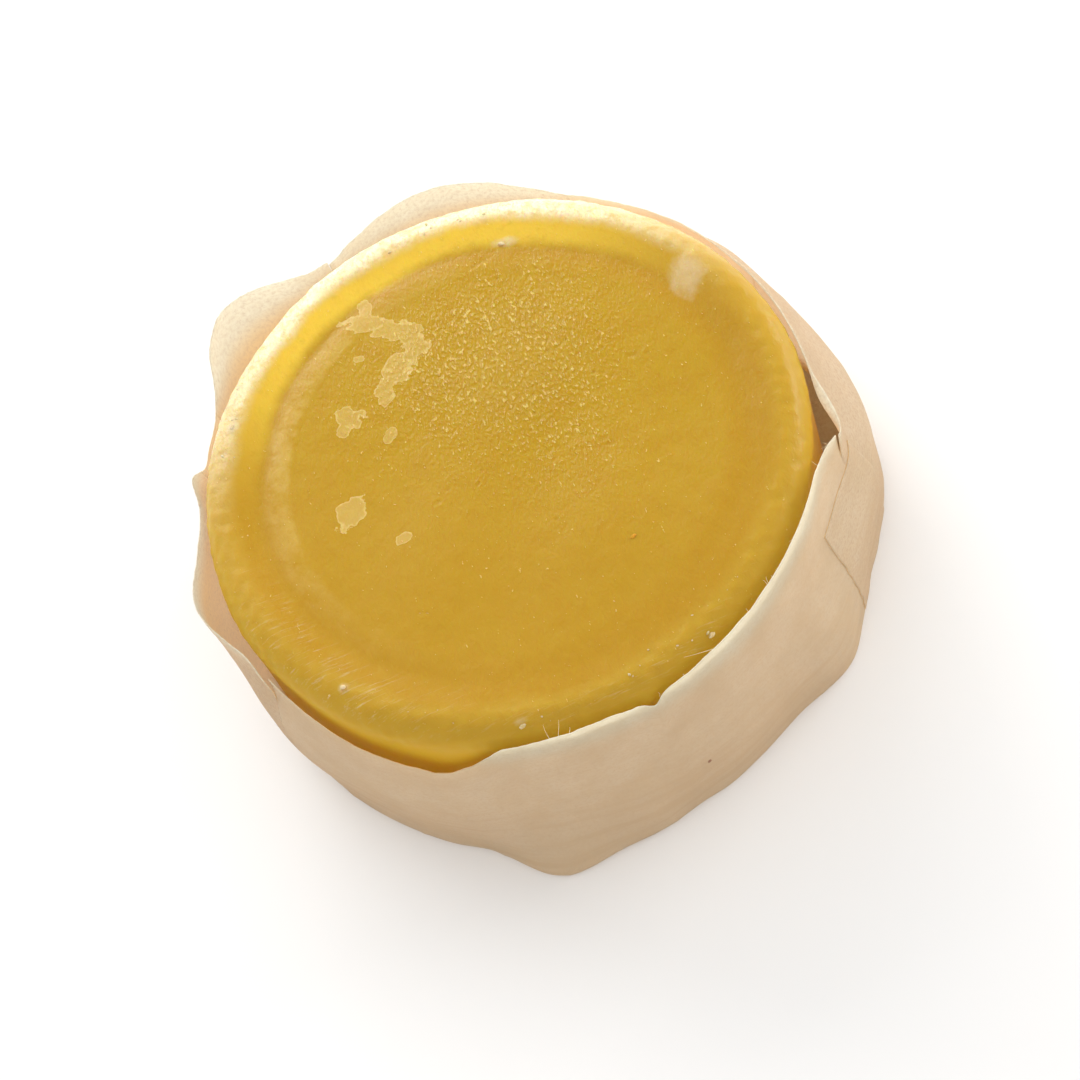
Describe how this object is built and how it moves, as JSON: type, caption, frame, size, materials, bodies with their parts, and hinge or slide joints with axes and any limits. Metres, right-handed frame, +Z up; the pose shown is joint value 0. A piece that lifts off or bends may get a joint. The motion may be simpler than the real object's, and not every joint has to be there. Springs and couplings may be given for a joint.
{
  "type": "shaving soap puck",
  "caption": "Round cast shaving soap with a rimmed face, in a thin paper wrapper torn open round the top, with loose flaps that fold back so the soap lifts out.",
  "frame": {"origin": "centre of the flat underside of the wrapped puck, on the axis of the soap", "axes": "+Z up along the axis of the soap, out of its face; -Y towards the front, where the wrapper is torn lowest; +X to the right"},
  "size_m": [0.0789, 0.0758, 0.0285],
  "materials": {
    "soap": "translucent amber cast soap, satin with tiny pits, not a plastic",
    "wrapper_paper": "thin translucent off-white greaseproof paper, uncoated, slightly wrinkled"
  },
  "bodies": {
    "wrapper": {"wrapper_wall": "wrapper_paper", "wrapper_lap": "wrapper_paper", "wrapper_base": "wrapper_paper"},
    "puck": {"soap_puck": "soap"},
    "rear_flap": {"rear_flap": "wrapper_paper"},
    "rear_left_flap": {"rear_left_flap": "wrapper_paper"},
    "left_flap": {"left_flap": "wrapper_paper"},
    "right_flap": {"right_flap": "wrapper_paper"}
  },
  "joints": [
    {"name": "puck_lift", "type": "slide", "parent": "wrapper", "child": "puck", "axis": [0, 0, 1], "range_m": [0, 0.04]},
    {"name": "rear_flap_fold", "type": "hinge", "parent": "wrapper", "child": "rear_flap", "pos_m": [0.0062, 0.03516, 0.019], "axis": [-0.9848, 0.1736, 0], "range_deg": [0, 75]},
    {"name": "rear_left_flap_fold", "type": "hinge", "parent": "wrapper", "child": "rear_left_flap", "pos_m": [-0.01905, 0.03049, 0.019], "axis": [-0.848, -0.5299, 0], "range_deg": [0, 75]},
    {"name": "left_flap_fold", "type": "hinge", "parent": "wrapper", "child": "left_flap", "pos_m": [-0.03751, 0.00262, 0.019], "axis": [-0.0698, -0.9976, 0], "range_deg": [0, 70]},
    {"name": "right_flap_fold", "type": "hinge", "parent": "wrapper", "child": "right_flap", "pos_m": [0.03765, 0.00033, 0.019], "axis": [-0.0087, 1, 0], "range_deg": [0, 70]}
  ]
}
